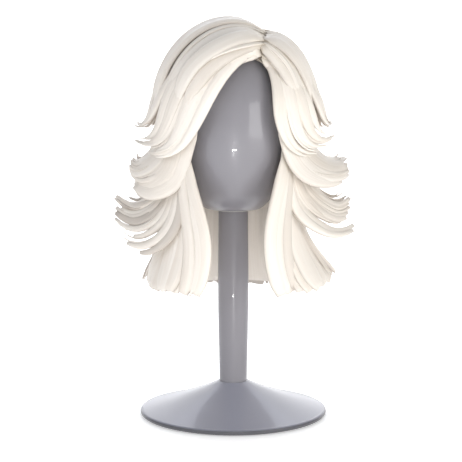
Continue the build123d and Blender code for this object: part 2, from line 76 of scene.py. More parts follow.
# ---- How a lock is shaped, in millimetres and shares ----
ROOT_END, TIP_END = 0.3, 0.6  # how far the closing points stand off the end rings
INNER_SHARE = 0.55  # thickness of the inner side against the outer one
GROOVE_TURNS = 3.2  # how closely the grooves lie
SWAY = 0.006  # how far a lock wanders across its sheet
LATE_START = 0.03  # how far down its sheet a lock may begin
GROW_WIDE, GROW_THICK = 0.12, 0.1  # where a lock reaches its full width and thickness
SINK = 8.0  # how far a thickness of hair dips under its locks towards its end

# ---- How the streaks and the painted shade lie on a lock ----
STREAK_GIRTH = 2.2  # streak pattern round a tube, in half widths
STREAK_SHIFT = 400  # each lock takes its streaks from another part of the pattern
# Share of painted light at a point: 1 keeps the hair's colour, 0 gives the painted shade colour.
ROOT_PAINTED_LIGHT, ROOT_ZONE = 0.8, 0.15  # a lock's sides are not shaded near its root
END_PAINTED_LIGHT = (0.8, 0.7)
SLAB_TINT, SLAB_PAINTED_LIGHT = 0.35, 0.5


# ======== sheets through guide lines
def spline_weights(count, at):
    """Weights of `count` control points at each parameter from 0 to 1.

    The uniform cubic B-spline basis with its ends clamped, by the Cox-de Boor recurrence: each
    degree's function is the mean of two of the degree below, each scaled by how far the
    parameter is through its knots.
    """
    degree = min(3, count - 1)
    inner = np.linspace(0, 1, count - degree + 1)
    knots = np.concatenate([np.zeros(degree), inner, np.ones(degree)])
    x = np.clip(np.asarray(at, float), 0, 1 - 1e-9)[..., None]
    weights = ((x >= knots[:-1]) & (x < knots[1:])).astype(float)
    for d in range(1, degree + 1):
        low, high = knots[: -d - 1], knots[d + 1 :]
        left, right = knots[d:-1] - low, high - knots[1:-d]
        up = np.where(left > 0, (x - low) / np.where(left > 0, left, 1), 0) * weights[..., :-1]
        down = np.where(right > 0, (high - x) / np.where(right > 0, right, 1), 0) * weights[..., 1:]
        weights = up + down
    return weights


def on_hair(azimuth, height, off):
    """Point at an azimuth from the face's middle, a height over the widest level and a stand-off.

    Over the widest level the head is an ellipsoid grown by the stand-off; under it, the upright
    tube of the ellipsoid's widest outline.
    """
    share = np.clip(np.maximum(height, 0) / (DOME + off), 0, 1)
    radius = (HALF_WIDTH + off) * np.sqrt(1 - share**2)
    angle = np.radians(azimuth)
    x, y = radius * np.sin(angle), -DEPTH_RATIO * radius * np.cos(angle)
    return np.stack([x, y, height + 0 * radius], -1)


def on_dome(x, y, off):
    """Point on the grown ellipsoid over a place in plan."""
    wide, deep, tall = HALF_WIDTH + off, DEPTH_RATIO * (HALF_WIDTH + off), DOME + off
    rest = np.clip(1 - (x / wide) ** 2 - (y / deep) ** 2, 0, 1)
    return np.array([x, y, tall * math.sqrt(rest)])


def over_dome(start, end):
    """Points between two on the dome, along a great circle with the dome scaled to a sphere."""
    grow = np.array([HALF_WIDTH, DEPTH_RATIO * HALF_WIDTH, DOME])
    a, b = start / grow, end / grow
    size_a, size_b = np.linalg.norm(a), np.linalg.norm(b)
    a, b = a / size_a, b / size_b
    angle = math.acos(float(np.clip(a @ b, -1, 1)))
    t = np.arange(1, ARC_STEPS + 1) / (ARC_STEPS + 1)
    turn = np.sin((1 - t) * angle)[:, None] * a + np.sin(t * angle)[:, None] * b
    turn = turn / math.sin(angle)
    return turn * (size_a + (size_b - size_a) * t)[:, None] * grow


class Sheet:
    """A weft's curved sheet: across it from the face backwards, and along it from root to tip.

    Its control net is the guides' points with their stand-offs. A point of the sheet is the
    tensor-product B-spline of that net, then pushed straight out or in to the splined stand-off.
    """

    def __init__(self, side, guides, roots=None, root_off=12.0):
        net = []
        for number, guide in enumerate(guides):
            azimuth, height, off = np.array(guide, float).T
            points = on_hair(azimuth * side, height, off)
            offs = off
            if roots is not None:
                root = on_dome(*roots[number], root_off)
                arc = over_dome(root, points[0])
                points = np.concatenate([root[None], arc, points])
                grown = np.linspace(0, 1, ARC_STEPS + 2) ** 0.4
                rise = root_off + (off[0] - root_off) * grown
                offs = np.concatenate([rise[:-1], off])
            net.append(np.concatenate([points, offs[:, None]], 1))
        self.net = np.array(net)

    def at(self, across, along, lift=0.0):
        """Points of the sheet in millimetres, raised by a lift, for equal-shaped parameters."""
        net = self.net
        weights_g = spline_weights(net.shape[0], across)
        weights_t = spline_weights(net.shape[1], along)
        value = np.einsum("...g,...t,gtc->...c", weights_g, weights_t, net)
        point, off = value[..., :3], value[..., 3] + lift
        wide, tall = HALF_WIDTH + off, DOME + off
        plan = (point[..., 0] / wide) ** 2 + (point[..., 1] / (DEPTH_RATIO * wide)) ** 2
        above = np.maximum(point[..., 2], 0)
        push = 1 / np.sqrt(np.maximum(plan + (above / tall) ** 2, 1e-6))
        grown = point * push[..., None]
        grown[..., 2] = np.where(point[..., 2] > 0, grown[..., 2], point[..., 2])
        return grown


def unit(vectors):
    return vectors / np.maximum(np.linalg.norm(vectors, axis=-1, keepdims=True), 1e-9)


def ease(t):
    """Smooth step: 3t^2 - 2t^3 between 0 and 1."""
    t = np.clip(t, 0, 1)
    return t * t * (3 - 2 * t)


# ======== meshes
def mesh_object(name, points, quads, triangles, uvs=None, values=None):
    """One mesh object at the origin, from whole arrays.

    points are metres; uvs is one pair for each corner, quads first; values maps an attribute's
    name to one number for each point.
    """
    mesh = bpy.data.meshes.new(name)
    corners = np.concatenate([quads.ravel(), triangles.ravel()]).astype(np.int32)
    sizes = np.repeat([4, 3], [len(quads), len(triangles)]).astype(np.int32)
    starts = np.concatenate([[0], np.cumsum(sizes)[:-1]]).astype(np.int32)
    mesh.vertices.add(len(points))
    mesh.vertices.foreach_set("co", points.astype(np.float32).ravel())
    mesh.loops.add(len(corners))
    mesh.loops.foreach_set("vertex_index", corners)
    mesh.polygons.add(len(sizes))
    mesh.polygons.foreach_set("loop_start", starts)
    mesh.polygons.foreach_set("use_smooth", np.ones(len(sizes), bool))
    if uvs is not None:
        layer = mesh.uv_layers.new(name="strand")
        layer.uv.foreach_set("vector", uvs.astype(np.float32).ravel())
    for label, value in (values or {}).items():
        attribute = mesh.attributes.new(label, "FLOAT", "POINT")
        attribute.data.foreach_set("value", value.astype(np.float32))
    mesh.update(calc_edges=True)
    mesh.validate()
    piece = bpy.data.objects.new(name, mesh)
    bpy.context.scene.collection.objects.link(piece)
    return piece


class Bundle:
    """Gathers the arrays of many closed tubes and slabs into one mesh."""

    def __init__(self):
        self.parts = []
        self.count = 0

    def take(self, points, quads, triangles, quad_uvs, triangle_uvs, tint, along, painted_light):
        self.parts.append((
            points, quads + self.count, triangles + self.count,
            quad_uvs.reshape(-1, 2), triangle_uvs.reshape(-1, 2), tint, along, painted_light,
        ))
        self.count += len(points)

    def piece(self, name):
        """The mesh object, with its places turned from the head's millimetres to metres."""
        points, quads, triangles, quad_uvs, triangle_uvs, tint, along, painted_light = (
            np.concatenate(arrays) for arrays in zip(*self.parts)
        )
        return mesh_object(
            name, (points + [0, 0, WIDEST]) * MM, quads, triangles,
            np.concatenate([quad_uvs, triangle_uvs]),
            # Third attribute: each point's share of painted light, the rest painted shade.
            {"tint": tint, "along": along, "painted_light": painted_light},
        )


def tube_faces(tubes, steps, sides):
    """Corner numbers of closed tubes: each has steps x sides points, then its two end points."""
    base = (np.arange(tubes) * (steps * sides + 2))[:, None, None]
    row = base + np.arange(steps - 1)[None, :, None] * sides
    here = np.arange(sides)[None, None, :]
    there = (here + 1) % sides
    quads = np.stack([row + here, row + there, row + sides + there, row + sides + here], -1)
    first = base[..., 0] + steps * sides
    here, there = here[:, 0], there[:, 0]
    root = np.stack([base[:, 0] + there, base[:, 0] + here, first + 0 * here], -1)
    end = base[:, 0] + (steps - 1) * sides
    tip = np.stack([end + here, end + there, first + 1 + 0 * here], -1)
    return quads.reshape(-1, 4), np.concatenate([root.reshape(-1, 3), tip.reshape(-1, 3)])


def add_tubes(bundle, line, outward, half_width, half_thick, sides, groove, rng, tint, bright):
    """Adds one closed tapered tube for each centreline.

    Each cross-section is an ellipse, flatter on its inner side, whose outer side is pressed in by
    a cosine of the place across it: that gives the bundle its grooves. The last two arguments are
    one number for each tube: which tint its streaks lean to, and how much painted light it keeps,
    the rest going to painted shade.
    """
    tubes, steps = line.shape[:2]
    tangent = unit(np.gradient(line, axis=1))
    normal = unit(outward - np.sum(outward * tangent, -1, keepdims=True) * tangent)
    across = np.cross(normal, tangent)
    angle = np.arange(sides) / sides * 2 * np.pi
    place, rise = np.cos(angle), np.sin(angle)
    phase = rng.uniform(0, 2 * np.pi, (tubes, 1, 1))
    pressed = 1 - groove * (0.5 + 0.5 * np.cos(place * np.pi * GROOVE_TURNS + phase))
    height = np.where(rise > 0, rise * pressed, rise * INNER_SHARE)
    ring = (
        line[:, :, None]
        + across[:, :, None] * (half_width[..., None] * place)[..., None]
        + normal[:, :, None] * (half_thick[..., None] * height)[..., None]
    )
    root, tip = line[:, 0] - tangent[:, 0] * ROOT_END, line[:, -1] + tangent[:, -1] * TIP_END
    ends = np.stack([root, tip], 1)
    points = np.concatenate([ring.reshape(tubes, -1, 3), ends], 1)
    pace = np.linalg.norm(np.diff(line, axis=1), axis=-1)
    length = np.concatenate([np.zeros((tubes, 1)), np.cumsum(pace, 1)], 1)
    shift = rng.uniform(0, STREAK_SHIFT, (tubes, 1, 1))
    girth = half_width.max(1)[:, None, None] * STREAK_GIRTH
    u = np.arange(sides + 1)[None, None] / sides * girth + shift + 0 * length[..., None]
    v = length[..., None] + shift * 3 + 0 * u
    uv = np.stack([u, v], -1)
    quad_uvs = np.stack([uv[:, :-1, :-1], uv[:, :-1, 1:], uv[:, 1:, 1:], uv[:, 1:, :-1]], -2)
    root_uvs = np.stack([uv[:, 0, 1:], uv[:, 0, :-1], uv[:, 0, :-1]], -2)
    tip_uvs = np.stack([uv[:, -1, :-1], uv[:, -1, 1:], uv[:, -1, 1:]], -2)
    quads, triangles = tube_faces(tubes, steps, sides)
    t = np.repeat(np.linspace(0, 1, steps), sides)
    along = np.tile(np.concatenate([t, [0, 1]]), tubes)
    # Painted shade: full painted light on a lock's outer face, falling to painted shade on its
    # sides and underside, lifted near the root; the end caps get fixed shares.
    near_root = ROOT_PAINTED_LIGHT * (1 - np.clip(t / ROOT_ZONE, 0, 1))
    painted_light = np.tile(np.clip(rise, 0, 1), steps)
    painted_light = np.concatenate([painted_light + (1 - painted_light) * near_root, END_PAINTED_LIGHT])
    painted_light = (bright[:, None] * painted_light).ravel()
    bundle.take(
        points.reshape(-1, 3), quads, triangles, quad_uvs, np.concatenate([root_uvs, tip_uvs]),
        np.repeat(tint, steps * sides + 2), along, painted_light,
    )


def add_locks(bundle, sheet, rng, count, half_width, half_thick, ragged, lift, clump, group, sides,
              curl, stray=0.0, groove=0.35, point=0.5, tip=0.03, dim=0.12):
    """Adds locks that run along a sheet, each a tapered tube with its own place, length and lift.

    A lock's place across the sheet eases from its own place at the root towards its group's place
    at the tip. Its width grows in over the first tenth and closes to the share `tip` of itself
    from the place `point` on. The last argument is painted shade that varies by lock: the share of
    painted light that the darkest lock loses.
    """
    t = np.linspace(0, 1, LOCK_STEPS)[None]
    place = (np.arange(count) + rng.uniform(0.1, 0.9, count)) / count
    middle = (np.arange(count) // group + 0.5) * group / count
    pull = (middle - place) * clump * rng.uniform(0.5, 1.2, count)
    size = rng.normal(0, SWAY, (count, 1))
    turns = t * rng.uniform(2, 5, (count, 1))
    wave = size * np.sin(turns + rng.uniform(0, 6, (count, 1)))
    drift = rng.normal(0, stray, (count, 1)) * t**3
    across = place[:, None] + pull[:, None] * ease(t) + wave + drift
    end = 1 - ragged * rng.uniform(0, 1, (count, 1)) ** 1.5
    first = rng.uniform(0, LATE_START, (count, 1))
    along = first + (end - first) * t
    rise = np.sin(np.pi * np.clip(t * 0.9 + 0.1, 0, 1)) ** 0.5
    raised = rng.uniform(*lift, (count, 1)) * rise
    step = 0.004
    line = sheet.at(across, along, raised)
    beside = sheet.at(np.clip(across + step, 0, 1), along, raised)
    beside = beside - sheet.at(np.clip(across - step, 0, 1), along, raised)
    tangent = unit(np.gradient(line, axis=1))
    outward = unit(np.cross(tangent, beside))
    away = line * [1, 1 / DEPTH_RATIO**2, 0.3]
    early = np.sum(outward[:, 2:8] * away[:, 2:8], (1, 2))
    outward = outward * np.sign(early)[:, None, None]
    if curl:
        out, over = (rng.normal(0, curl, (count, 1)) * t**3 for _ in range(2))
        line = line + outward * out[..., None] + unit(beside) * over[..., None]
    wide = half_width * rng.uniform(0.75, 1.2, (count, 1))
    close = np.clip((t - point) / (1 - point), 0, 1)
    shape = (0.5 + 0.5 * ease(t / GROW_WIDE)) * (1 - (1 - tip) * close**1.7)
    thick = half_thick * rng.uniform(0.8, 1.2, (count, 1)) * (0.3 + 0.7 * ease(t / GROW_THICK))
    thick = thick * (1 - (1 - tip) * close**2.2)
    # Painted shade that varies by lock: each lock keeps only part of its painted light.
    add_tubes(bundle, line, outward, wide * shape, thick, sides, groove, rng,
              rng.uniform(0, 1, count), 1 - dim * rng.uniform(0, 1, count) ** 1.2)


def add_slab(bundle, sheet, rng, low, high, thick, ripple, waves, drop, inset=0.0, sink=SINK):
    """Adds a closed slab along part of a sheet, rippled like a thickness of hair.

    Its outer face is the sheet lowered by `drop`, which eases to `sink` more over its last
    quarter, plus a sum of cosines across it. Its inner face lies one thickness inside that, with
    half the ripple. `inset` keeps it off the sheet's front edge.
    """
    across = np.linspace(inset, 1, SLAB_ACROSS)[:, None] + np.zeros((1, SLAB_ALONG))
    along = np.linspace(low, high, SLAB_ALONG)[None] + np.zeros((SLAB_ACROSS, 1))
    phase = rng.uniform(0, 6.28, 3)
    wave = sum(
        np.cos(2 * np.pi * waves * k * across + p + 2 * along) / k
        for k, p in zip((0.5, 1, 1.7), phase)
    )
    down = drop + sink * ease((along - low) / (high - low) * 4 - 3)
    outer = sheet.at(across, along, ripple * wave - down)
    inner = sheet.at(across, along, ripple * wave * 0.5 - down - thick)
    points = np.concatenate([outer.reshape(-1, 3), inner.reshape(-1, 3)])
    index = np.arange(SLAB_ACROSS * SLAB_ALONG).reshape(SLAB_ACROSS, SLAB_ALONG)
    under = index + index.size

    def patch(*corners):
        return np.stack(corners, -1).reshape(-1, 4)

    quads = np.concatenate([
        patch(index[:-1, :-1], index[1:, :-1], index[1:, 1:], index[:-1, 1:]),
        patch(under[:-1, :-1], under[:-1, 1:], under[1:, 1:], under[1:, :-1]),
        patch(index[:-1, 0], under[:-1, 0], under[1:, 0], index[1:, 0]),
        patch(index[:-1, -1], index[1:, -1], under[1:, -1], under[:-1, -1]),
        patch(index[0, :-1], index[0, 1:], under[0, 1:], under[0, :-1]),
        patch(index[-1, :-1], under[-1, :-1], under[-1, 1:], index[-1, 1:]),
    ])
    corner = points[quads]
    normal = np.cross(corner[:, 1] - corner[:, 0], corner[:, 2] - corner[:, 0])
    outer_count = (SLAB_ACROSS - 1) * (SLAB_ALONG - 1)
    if np.sum(normal[:outer_count] * (corner[:outer_count].mean(1) * [1, 1, 0.3])) < 0:
        quads = quads[:, ::-1]
    width = np.linalg.norm(outer[-1, SLAB_ALONG // 2] - outer[0, SLAB_ALONG // 2]) * 1.6
    length = np.linalg.norm(np.diff(outer[SLAB_ACROSS // 2], axis=0), axis=1).sum()
    uv = np.tile(np.stack([across * width, along * length], -1).reshape(-1, 2), (2, 1))
    # The slab under the locks keeps a fixed share of painted light, half of it painted shade.
    bundle.take(
        points, quads, np.zeros((0, 3), int), uv[quads], np.zeros((0, 2)),
        np.full(len(points), SLAB_TINT), np.tile(along.ravel(), 2),
        np.full(len(points), SLAB_PAINTED_LIGHT),
    )


# ======== the wefts' guide lines
def ring_guides(azimuths, profile):
    """The same hang repeated at each azimuth, for wefts that are alike all the way across."""
    return [[(azimuth, height, off) for height, off in profile] for azimuth in azimuths]


# A guide line is a list of (azimuth from the face's middle in degrees, height over the widest
# level and stand-off in millimetres), from the top down. Each weft lists its guides from the
# face backwards. Roots are places in plan along the parting.
FRINGE_RIGHT = (
    ((-13, 70, 12), (7, 45, 15), (24, -8, 16), (36, -38, 17),
     (46, -57, 24), (58, -62, 38), (69, -54, 52)),
    ((8, 58, 17), (22, 36, 20), (33, -5, 22), (41, -34, 24),
     (51, -50, 31), (62, -54, 43), (72, -46, 55)),
    ((26, 56, 20), (38, 32, 24), (46, 0, 27), (53, -24, 30),
     (60, -38, 36), (69, -42, 46), (76, -34, 56)),
    ((46, 54, 22), (54, 30, 26), (60, 2, 29), (65, -16, 32),
     (70, -28, 38), (76, -32, 47), (82, -26, 56)),
)
FRINGE_RIGHT_ROOTS = ((37, -67), (41, -58), (42, -48), (43, -34))
FLIP_RIGHT = (
    ((48, 50, 22), (56, 26, 26), (61, 8, 29), (66, -8, 33),
     (71, -18, 40), (76, -22, 48), (80, -14, 54)),
    ((70, 50, 22), (74, 26, 26), (76, 10, 29), (79, -4, 33),
     (81, -14, 40), (84, -20, 49), (87, -14, 57)),
    ((96, 50, 22), (97, 26, 26), (98, 10, 29), (98, -4, 33),
     (99, -13, 40), (99, -17, 48), (100, -10, 54)),
    ((122, 50, 22), (121, 26, 26), (120, 10, 28), (120, -4, 32),
     (119, -13, 38), (119, -17, 46), (119, -10, 51)),
    ((140, 50, 22), (138, 26, 26), (136, 10, 28), (135, -4, 31),
     (134, -14, 35), (133, -19, 41), (133, -14, 46)),
)
FLIP_RIGHT_ROOTS = ((40, -38), (40, -22), (37, -8), (33, 6), (29, 16))
WING_RIGHT = (
    ((34, 12, 8), (40, -26, 10), (47, -56, 12), (50, -86, 14),
     (56, -106, 27), (67, -112, 44), (77, -98, 56)),
    ((43, 20, 10), (48, -20, 12), (52, -52, 15), (57, -77, 20),
     (65, -94, 37), (76, -98, 51), (84, -82, 58)),
    ((58, 26, 12), (61, -8, 14), (63, -36, 17), (67, -56, 25),
     (74, -70, 40), (81, -75, 52), (86, -68, 58)),
    ((82, 28, 12), (83, -4, 14), (84, -30, 17), (85, -48, 25),
     (87, -60, 40), (89, -64, 52), (90, -56, 60)),
    ((106, 28, 12), (105, -4, 14), (105, -30, 17), (105, -48, 25),
     (105, -60, 38), (105, -64, 50), (105, -58, 58)),
    ((130, 28, 12), (129, -4, 14), (128, -30, 17), (128, -48, 24),
     (127, -60, 34), (127, -65, 44), (127, -60, 50)),
)
FAN_RIGHT = (
    ((40, -24, 5), (46, -58, 7), (46, -98, 9), (47, -140, 12),
     (52, -174, 26), (61, -194, 44), (74, -190, 58)),
    ((48, -16, 7), (51, -50, 8), (54, -90, 9), (57, -128, 13),
     (62, -158, 30), (73, -172, 58), (85, -156, 78)),
    ((62, -10, 8), (64, -42, 9), (66, -78, 10), (69, -110, 15),
     (75, -136, 38), (84, -142, 66), (90, -124, 84)),
    ((84, -8, 8), (85, -40, 9), (86, -70, 10), (87, -96, 15),
     (90, -118, 39), (92, -121, 65), (94, -102, 82)),
    ((106, -8, 8), (106, -40, 10), (106, -68, 13), (106, -93, 22),
     (106, -112, 43), (106, -118, 60), (106, -108, 70)),
    ((130, -8, 8), (129, -40, 10), (128, -70, 14), (128, -95, 24),
     (127, -114, 38), (127, -122, 50), (127, -118, 58)),
)
LENGTH_RIGHT = (
    ((50, -40, 5), (48, -80, 6), (44, -120, 7), (42, -160, 9),
     (41, -196, 14), (41, -222, 20), (42, -233, 24)),
    ((60, -40, 5), (59, -80, 6), (58, -120, 7), (57, -160, 12),
     (58, -191, 22), (59, -218, 31), (60, -230, 36)),
    ((78, -40, 5), (78, -80, 6), (78, -120, 7), (78, -157, 13),
     (80, -187, 27), (82, -212, 38), (84, -225, 42)),
    ((102, -40, 5), (102, -80, 6), (102, -120, 7), (102, -160, 11),
     (102, -188, 23), (102, -212, 35), (102, -225, 41)),
    ((128, -40, 5), (128, -80, 6), (128, -120, 7), (128, -160, 9),
     (128, -198, 14), (128, -224, 22), (128, -236, 28)),
)
CURTAIN_RIGHT = (
    ((46, -40, 7), (42, -76, 8), (29, -122, 10), (21, -158, 11),
     (21, -194, 12), (26, -220, 13), (30, -233, 15)),
    ((50, -40, 8), (46, -78, 9), (36, -122, 11), (29, -162, 13),
     (29, -196, 14), (33, -219, 16), (36, -232, 18)),
    ((54, -40, 8), (51, -80, 9), (46, -122, 11), (41, -164, 13),
     (40, -196, 16), (42, -220, 19), (44, -231, 22)),
    ((58, -40, 8), (57, -80, 9), (55, -122, 10), (53, -164, 12),
     (53, -196, 16), (53, -219, 22), (54, -229, 26)),
)
FRINGE_LEFT = (
    ((42, 56, 10), (39, 30, 13), (35, 0, 14), (39, -30, 15),
     (48, -54, 20), (59, -62, 34), (70, -56, 50)),
    ((46, 56, 14), (46, 30, 19), (47, 0, 22), (52, -24, 26),
     (59, -40, 34), (68, -46, 46), (77, -38, 58)),
    ((58, 54, 20), (59, 28, 27), (62, 4, 34), (66, -14, 38),
     (70, -26, 42), (77, -30, 50), (82, -22, 58)),
)
FRINGE_LEFT_ROOTS = ((34, -71), (39, -58), (43, -42))
FLIP_LEFT = (
    ((60, 48, 26), (62, 26, 33), (65, 8, 38), (68, -6, 42),
     (73, -16, 46), (78, -20, 51), (83, -12, 57)),
    ((82, 48, 28), (83, 26, 35), (84, 8, 40), (86, -5, 44),
     (88, -14, 48), (90, -18, 53), (92, -10, 58)),
    ((106, 48, 26), (106, 26, 32), (106, 8, 36), (106, -5, 40),
     (106, -14, 44), (106, -18, 49), (106, -12, 54)),
    ((134, 48, 22), (132, 26, 26), (130, 8, 29), (129, -5, 32),
     (128, -14, 36), (128, -18, 42), (128, -14, 47)),
)
FLIP_LEFT_ROOTS = ((44, -38), (45, -20), (42, -2), (36, 14))
WING_LEFT = (
    ((41, 8, 8), (43, -28, 10), (49, -56, 12), (53, -78, 18),
     (61, -96, 34), (71, -102, 56), (79, -98, 72)),
    ((50, 16, 10), (53, -20, 12), (57, -48, 16), (63, -70, 25),
     (71, -84, 44), (80, -88, 64), (88, -82, 76)),
    ((64, 24, 14), (66, -8, 18), (69, -36, 22), (73, -56, 31),
     (79, -68, 47), (85, -71, 64), (90, -62, 76)),
    ((88, 26, 14), (89, -4, 18), (90, -30, 22), (91, -48, 30),
     (92, -60, 45), (93, -63, 61), (94, -54, 71)),
    ((110, 28, 12), (109, -4, 14), (109, -30, 17), (109, -48, 25),
     (108, -60, 38), (108, -64, 50), (108, -58, 58)),
    ((132, 28, 12), (130, -4, 14), (129, -30, 17), (128, -48, 24),
     (127, -60, 34), (127, -65, 44), (127, -60, 50)),
)
FAN_LEFT = (
    ((48, -24, 5), (53, -58, 7), (53, -94, 9), (55, -130, 15),
     (60, -158, 38), (71, -172, 64), (82, -163, 84)),
    ((56, -16, 7), (58, -50, 9), (60, -84, 11), (64, -116, 19),
     (71, -140, 44), (82, -152, 68), (90, -140, 84)),
    ((68, -10, 8), (70, -42, 9), (72, -74, 11), (76, -102, 22),
     (82, -122, 48), (88, -130, 70), (93, -116, 83)),
    ((88, -8, 8), (88, -40, 9), (89, -68, 12), (90, -93, 24),
     (92, -111, 47), (94, -117, 66), (95, -104, 80)),
    ((108, -8, 8), (108, -40, 10), (108, -68, 13), (107, -93, 24),
     (107, -111, 43), (107, -117, 60), (107, -108, 70)),
    ((132, -8, 8), (130, -40, 10), (129, -70, 14), (128, -95, 24),
     (127, -114, 38), (127, -122, 50), (127, -118, 58)),
)
LENGTH_LEFT = (
    ((56, -40, 5), (54, -80, 6), (49, -120, 7), (47, -160, 10),
     (47, -194, 18), (48, -220, 28), (50, -233, 36)),
    ((64, -40, 5), (63, -80, 6), (62, -120, 8), (62, -158, 13),
     (65, -188, 27), (68, -212, 42), (71, -224, 52)),
    ((80, -40, 5), (80, -80, 6), (80, -118, 8), (81, -150, 16),
     (84, -176, 34), (87, -196, 54), (89, -205, 67)),
    ((104, -40, 5), (104, -80, 6), (104, -120, 7), (104, -158, 12),
     (104, -186, 24), (104, -208, 38), (104, -218, 46)),
    ((130, -40, 5), (130, -80, 6), (129, -120, 7), (128, -160, 9),
     (128, -198, 14), (128, -224, 22), (128, -236, 28)),
)
CURTAIN_LEFT = (
    ((53, -40, 7), (47, -80, 8), (35, -122, 10), (29, -160, 12),
     (31, -194, 13), (36, -218, 14), (40, -232, 16)),
    ((56, -40, 8), (51, -80, 9), (42, -122, 11), (37, -160, 13),
     (38, -194, 15), (42, -218, 18), (46, -230, 21)),
    ((59, -40, 8), (56, -80, 9), (51, -122, 11), (48, -162, 13),
     (49, -194, 17), (51, -216, 22), (54, -227, 26)),
    ((63, -40, 8), (62, -80, 9), (60, -122, 10), (59, -162, 13),
     (60, -192, 19), (62, -214, 27), (64, -225, 33)),
)
CROWN_RIGHT = (
    ((10, 46, 20), (18, 20, 22), (27, -4, 22)),
    ((34, 42, 25), (38, 16, 25), (42, -4, 26)),
    ((60, 40, 26), (62, 14, 27), (64, -4, 28)),
    ((88, 40, 26), (88, 14, 27), (88, -4, 28)),
    *ring_guides((116, 144, 172, 200), ((40, 24), (14, 26), (-4, 28))),
)
CROWN_LEFT = (
    ((42, 48, 18), (45, 24, 21), (48, 8, 20)),
    ((56, 46, 28), (58, 20, 33), (60, 0, 36)),
    ((82, 44, 30), (82, 18, 36), (82, 0, 38)),
    ((106, 44, 27), (106, 18, 32), (106, 0, 35)),
    ((132, 44, 26), (132, 18, 28), (132, 0, 30)),
    ((158, 42, 25), (158, 16, 27), (158, -2, 28)),
)
CROWN_RIGHT_ROOTS = (
    (38, -67), (41, -54), (44, -36), (42, -10), (36, 6), (30, 18), (28, 25), (29, 29)
)
CROWN_LEFT_ROOTS = ((34, -67), (37, -54), (40, -36), (38, -12), (33, 6), (28, 22))


BACK = (120, 145, 170, 195, 220, 240)
BACK_UPPER = ring_guides(
    BACK, ((50, 22), (26, 25), (8, 27), (-6, 30), (-15, 35), (-20, 41), (-15, 46))
)
BACK_MIDDLE = ring_guides(
    BACK, ((28, 12), (-4, 14), (-30, 17), (-48, 24), (-60, 34), (-65, 43), (-60, 49))
)
BACK_LOWER = ring_guides(
    BACK, ((-8, 8), (-40, 10), (-70, 14), (-96, 22), (-116, 34), (-126, 46), (-126, 54))
)
BACK_NAPE = ring_guides(
    BACK, ((-40, 5), (-80, 6), (-120, 7), (-160, 9), (-200, 14), (-230, 22), (-243, 27))
)
BACK_ROOTS = ((29, 16), (27, 20), (26, 24), (26, 26), (27, 27), (29, 27))


# ======== finishes
COLOUR_A, COLOUR_B, COLOUR_OUT = 6, 7, 2  # the mix node's colour sockets


def node_group(name, inputs, outputs):
    """Empty shader node group with a vector input for None, a float one for a number."""
    group = bpy.data.node_groups.new(name, "ShaderNodeTree")
    for label, value in inputs.items():
        kind = "NodeSocketVector" if value is None else "NodeSocketFloat"
        socket = group.interface.new_socket(label, in_out="INPUT", socket_type=kind)
        if value is not None:
            socket.default_value = value
    for label in outputs:
        group.interface.new_socket(label, in_out="OUTPUT", socket_type="NodeSocketFloat")
    return group, group.nodes.new("NodeGroupInput").outputs


def add_node(tree, kind, values=(), **settings):
    """New node with its properties set, and each input given a value or linked to a socket."""
    node = tree.nodes.new(kind)
    for label, value in settings.items():
        setattr(node, label, value)
    for label, value in dict(values).items():
        if isinstance(value, bpy.types.NodeSocket):
            tree.links.new(value, node.inputs[label])
        else:
            node.inputs[label].default_value = value
    return node


def calculated(tree, operation, *values):
    return add_node(tree, "ShaderNodeMath", enumerate(values), operation=operation).outputs[0]


def ranged(tree, value, ends, interpolation="LINEAR"):
    """A value moved from one range to another; an end that isn't given is 0 or 1."""
    node = add_node(
        tree, "ShaderNodeMapRange", {"Value": value, **ends}, interpolation_type=interpolation
    )
    return node.outputs["Result"]


def mixed(tree, share, first, second):
    """Colour between two, each a plain colour or a socket."""
    first, second = (
        end if isinstance(end, bpy.types.NodeSocket) else (*end, 1) for end in (first, second)
    )
    values = {"Factor": share, COLOUR_A: first, COLOUR_B: second}
    return add_node(tree, "ShaderNodeMix", values, data_type="RGBA").outputs[COLOUR_OUT]


def object_place(tree):
    return add_node(tree, "ShaderNodeTexCoord").outputs["Object"]


def strand_group():
    """Streaks that run along hair: noise stretched along the strand, as a mask and as a height."""
    group, given = node_group(
        "strand_streaks", {"Vector": None, "Fineness": 0.9}, ("Mask", "Height")
    )
    stretched = add_node(
        group, "ShaderNodeMapping", {"Vector": given["Vector"], "Scale": (1.0, 0.022, 1.0)},
        vector_type="POINT",
    ).outputs["Vector"]
    fine, broad = (
        add_node(
            group, "ShaderNodeTexNoise", {"Vector": stretched, **values}, noise_dimensions="2D"
        ).outputs["Fac"]
        for values in (
            {"Scale": given["Fineness"], "Detail": 3.0, "Roughness": 0.6},
            {"Scale": 0.22, "Detail": 1.0},
        )
    )
    mask = calculated(group, "MULTIPLY_ADD", broad, 0.45, calculated(group, "MULTIPLY", fine, 0.55))
    add_node(group, "NodeGroupOutput", {"Mask": mask, "Height": fine})
    return group


def speckle_group():
    """Small unevenness of a moulded or painted surface: a roughness value and a height."""
    group, given = node_group(
        "surface_unevenness", {"Vector": None, "Scale": 60.0, "Low": 0.15, "High": 0.25},
        ("Roughness", "Height"),
    )
    values = {"Vector": given["Vector"], "Scale": given["Scale"], "Detail": 4.0}
    noise = add_node(group, "ShaderNodeTexNoise", values).outputs["Fac"]
    rough = ranged(group, noise, {"To Min": given["Low"], "To Max": given["High"]})
    add_node(group, "NodeGroupOutput", {"Roughness": rough, "Height": noise})
    return group


